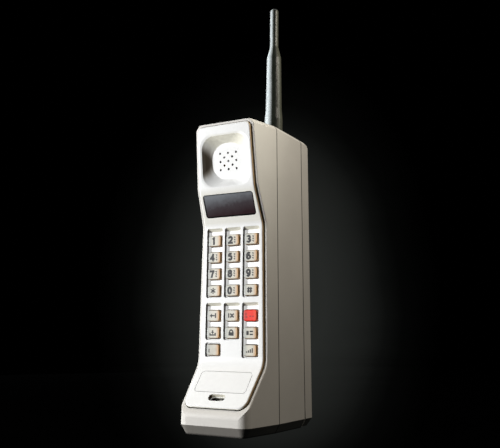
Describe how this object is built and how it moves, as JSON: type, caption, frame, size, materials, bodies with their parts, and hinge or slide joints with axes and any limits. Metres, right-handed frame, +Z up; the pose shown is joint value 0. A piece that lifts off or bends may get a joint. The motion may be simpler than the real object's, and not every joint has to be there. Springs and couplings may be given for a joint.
{
  "type": "cellular telephone",
  "caption": "Upright handheld cellular telephone with a curved face, push-button keypad, display, screw-in antenna and a latched battery pack on the back.",
  "frame": {"origin": "on the ground under the middle of the whole object", "axes": "+Z up along the antenna, -Y out of the keypad face, +X to the right of someone facing the keypad"},
  "size_m": [0.061, 0.095, 0.3216],
  "materials": {
    "housing_plastic": "fine satin texture",
    "panel_plastic": "smooth satin",
    "plate_plastic": "smooth satin",
    "window": "smooth, dark tinted",
    "display_black": "smooth",
    "black_rubber": "matt",
    "mat_rubber": "matt",
    "speaker": "satin",
    "tin_metal": "bright tin plate",
    "circuit_board": "solder mask",
    "cast_aluminium": "as cast",
    "duplexer_metal": "silver plated",
    "screw_steel": "zinc plated",
    "black_plastic": "satin",
    "contact_metal": "gold plated",
    "antenna_grey": "glossy",
    "battery_plastic": "fine satin texture",
    "cell_wrap": "shrink sleeve",
    "key_plastic": "smooth satin",
    "red_key_plastic": "smooth satin",
    "worn_key_plastic": "rubbed"
  },
  "bodies": {
    "handset": {"front_housing": "housing_plastic", "rear_housing": "housing_plastic", "face_panel": "panel_plastic", "face_gasket": "black_rubber", "name_plate": "plate_plastic", "display_window": "window", "display_module": "display_black", "earpiece_gasket": "black_rubber", "earpiece_speaker": "speaker", "microphone": "tin_metal", "microphone_boot": "black_rubber", "keypad_mat": "mat_rubber", "keypad_board": "circuit_board", "chassis_frame": "cast_aluminium", "logic_board": "circuit_board", "logic_shield": "tin_metal", "radio_board": "circuit_board", "radio_shield": "tin_metal", "power_amplifier": "cast_aluminium", "duplexer": "duplexer_metal", "housing_screws": "screw_steel", "board_screws": "screw_steel", "accessory_socket": "black_plastic", "socket_contacts": "contact_metal", "antenna_bushing": "contact_metal", "antenna_feed": "black_plastic", "battery_hinge_pin": "screw_steel", "terminal_springs": "contact_metal", "catch_spring": "screw_steel"},
    "antenna_screw": {"antenna_stud": "contact_metal"},
    "antenna": {"antenna_base": "antenna_grey", "antenna_sleeve": "antenna_grey", "antenna_whip": "antenna_grey", "antenna_tip": "antenna_grey"},
    "battery_pack": {"battery_cover": "battery_plastic", "battery_case": "battery_plastic", "battery_cells": "cell_wrap", "cell_links": "contact_metal", "battery_terminals": "contact_metal"},
    "latch_bar": {"battery_latch": "housing_plastic"},
    "key_1": {"key_1": "key_plastic"},
    "key_2": {"key_2": "key_plastic"},
    "key_3": {"key_3": "key_plastic"},
    "key_4": {"key_4": "key_plastic"},
    "key_5": {"key_5": "key_plastic"},
    "key_6": {"key_6": "key_plastic"},
    "key_7": {"key_7": "key_plastic"},
    "key_8": {"key_8": "key_plastic"},
    "key_9": {"key_9": "key_plastic"},
    "key_star": {"key_star": "key_plastic"},
    "key_0": {"key_0": "key_plastic"},
    "key_hash": {"key_hash": "key_plastic"},
    "key_recall": {"key_recall": "key_plastic"},
    "key_clear": {"key_clear": "key_plastic"},
    "key_send": {"key_send": "red_key_plastic"},
    "key_store": {"key_store": "key_plastic"},
    "key_lock": {"key_lock": "key_plastic"},
    "key_end": {"key_end": "key_plastic"},
    "key_power": {"key_power": "worn_key_plastic"},
    "key_volume": {"key_volume": "key_plastic"}
  },
  "joints": [
    {"name": "antenna_lift", "type": "slide", "parent": "handset", "child": "antenna_screw", "axis": [0, 0, 1], "range_m": [0, 0.005]},
    {"name": "antenna_turn", "type": "hinge", "parent": "antenna_screw", "child": "antenna", "pos_m": [0.0146, 0.0113, 0.22], "axis": [0, 0, 1], "range_deg": [0, 1800]},
    {"name": "battery_tilt", "type": "hinge", "parent": "handset", "child": "battery_pack", "pos_m": [0, 0.0414, 0.0036], "axis": [-1, 0, 0], "range_deg": [0, 12], "deforming": ["catch_spring"]},
    {"name": "latch_slide", "type": "slide", "parent": "handset", "child": "latch_bar", "axis": [0, -1, 0], "range_m": [0, 0.0025], "stiffness_N_per_m": 400, "springref_m": -0.0015, "deforming": ["catch_spring"]},
    {"name": "key_1_press", "type": "slide", "parent": "handset", "child": "key_1", "axis": [0, 1, 0], "range_m": [0, 0.0008], "stiffness_N_per_m": 600, "springref_m": -0.0006, "deforming": ["keypad_mat"]},
    {"name": "key_2_press", "type": "slide", "parent": "handset", "child": "key_2", "axis": [0, 1, 0], "range_m": [0, 0.0008], "stiffness_N_per_m": 600, "springref_m": -0.0006, "deforming": ["keypad_mat"]},
    {"name": "key_3_press", "type": "slide", "parent": "handset", "child": "key_3", "axis": [0, 1, 0], "range_m": [0, 0.0008], "stiffness_N_per_m": 600, "springref_m": -0.0006, "deforming": ["keypad_mat"]},
    {"name": "key_4_press", "type": "slide", "parent": "handset", "child": "key_4", "axis": [0, 1, 0], "range_m": [0, 0.0008], "stiffness_N_per_m": 600, "springref_m": -0.0006, "deforming": ["keypad_mat"]},
    {"name": "key_5_press", "type": "slide", "parent": "handset", "child": "key_5", "axis": [0, 1, 0], "range_m": [0, 0.0008], "stiffness_N_per_m": 600, "springref_m": -0.0006, "deforming": ["keypad_mat"]},
    {"name": "key_6_press", "type": "slide", "parent": "handset", "child": "key_6", "axis": [0, 1, 0], "range_m": [0, 0.0008], "stiffness_N_per_m": 600, "springref_m": -0.0006, "deforming": ["keypad_mat"]},
    {"name": "key_7_press", "type": "slide", "parent": "handset", "child": "key_7", "axis": [0, 1, 0], "range_m": [0, 0.0008], "stiffness_N_per_m": 600, "springref_m": -0.0006, "deforming": ["keypad_mat"]},
    {"name": "key_8_press", "type": "slide", "parent": "handset", "child": "key_8", "axis": [0, 1, 0], "range_m": [0, 0.0008], "stiffness_N_per_m": 600, "springref_m": -0.0006, "deforming": ["keypad_mat"]},
    {"name": "key_9_press", "type": "slide", "parent": "handset", "child": "key_9", "axis": [0, 1, 0], "range_m": [0, 0.0008], "stiffness_N_per_m": 600, "springref_m": -0.0006, "deforming": ["keypad_mat"]},
    {"name": "key_star_press", "type": "slide", "parent": "handset", "child": "key_star", "axis": [0, 1, 0], "range_m": [0, 0.0008], "stiffness_N_per_m": 600, "springref_m": -0.0006, "deforming": ["keypad_mat"]},
    {"name": "key_0_press", "type": "slide", "parent": "handset", "child": "key_0", "axis": [0, 1, 0], "range_m": [0, 0.0008], "stiffness_N_per_m": 600, "springref_m": -0.0006, "deforming": ["keypad_mat"]},
    {"name": "key_hash_press", "type": "slide", "parent": "handset", "child": "key_hash", "axis": [0, 1, 0], "range_m": [0, 0.0008], "stiffness_N_per_m": 600, "springref_m": -0.0006, "deforming": ["keypad_mat"]},
    {"name": "key_recall_press", "type": "slide", "parent": "handset", "child": "key_recall", "axis": [0, 1, 0], "range_m": [0, 0.0008], "stiffness_N_per_m": 600, "springref_m": -0.0006, "deforming": ["keypad_mat"]},
    {"name": "key_clear_press", "type": "slide", "parent": "handset", "child": "key_clear", "axis": [0, 1, 0], "range_m": [0, 0.0008], "stiffness_N_per_m": 600, "springref_m": -0.0006, "deforming": ["keypad_mat"]},
    {"name": "key_send_press", "type": "slide", "parent": "handset", "child": "key_send", "axis": [0, 1, 0], "range_m": [0, 0.0008], "stiffness_N_per_m": 600, "springref_m": -0.0006, "deforming": ["keypad_mat"]},
    {"name": "key_store_press", "type": "slide", "parent": "handset", "child": "key_store", "axis": [0, 1, 0], "range_m": [0, 0.0008], "stiffness_N_per_m": 600, "springref_m": -0.0006, "deforming": ["keypad_mat"]},
    {"name": "key_lock_press", "type": "slide", "parent": "handset", "child": "key_lock", "axis": [0, 1, 0], "range_m": [0, 0.0008], "stiffness_N_per_m": 600, "springref_m": -0.0006, "deforming": ["keypad_mat"]},
    {"name": "key_end_press", "type": "slide", "parent": "handset", "child": "key_end", "axis": [0, 1, 0], "range_m": [0, 0.0008], "stiffness_N_per_m": 600, "springref_m": -0.0006, "deforming": ["keypad_mat"]},
    {"name": "key_power_press", "type": "slide", "parent": "handset", "child": "key_power", "axis": [0, 1, 0], "range_m": [0, 0.0008], "stiffness_N_per_m": 600, "springref_m": -0.0006, "deforming": ["keypad_mat"]},
    {"name": "key_volume_press", "type": "slide", "parent": "handset", "child": "key_volume", "axis": [0, 1, 0], "range_m": [0, 0.0008], "stiffness_N_per_m": 600, "springref_m": -0.0006, "deforming": ["keypad_mat"]}
  ],
  "couplings": [
    {"joint": "antenna_turn", "follows": "antenna_lift", "rad_per_m": 6283.2}
  ]
}
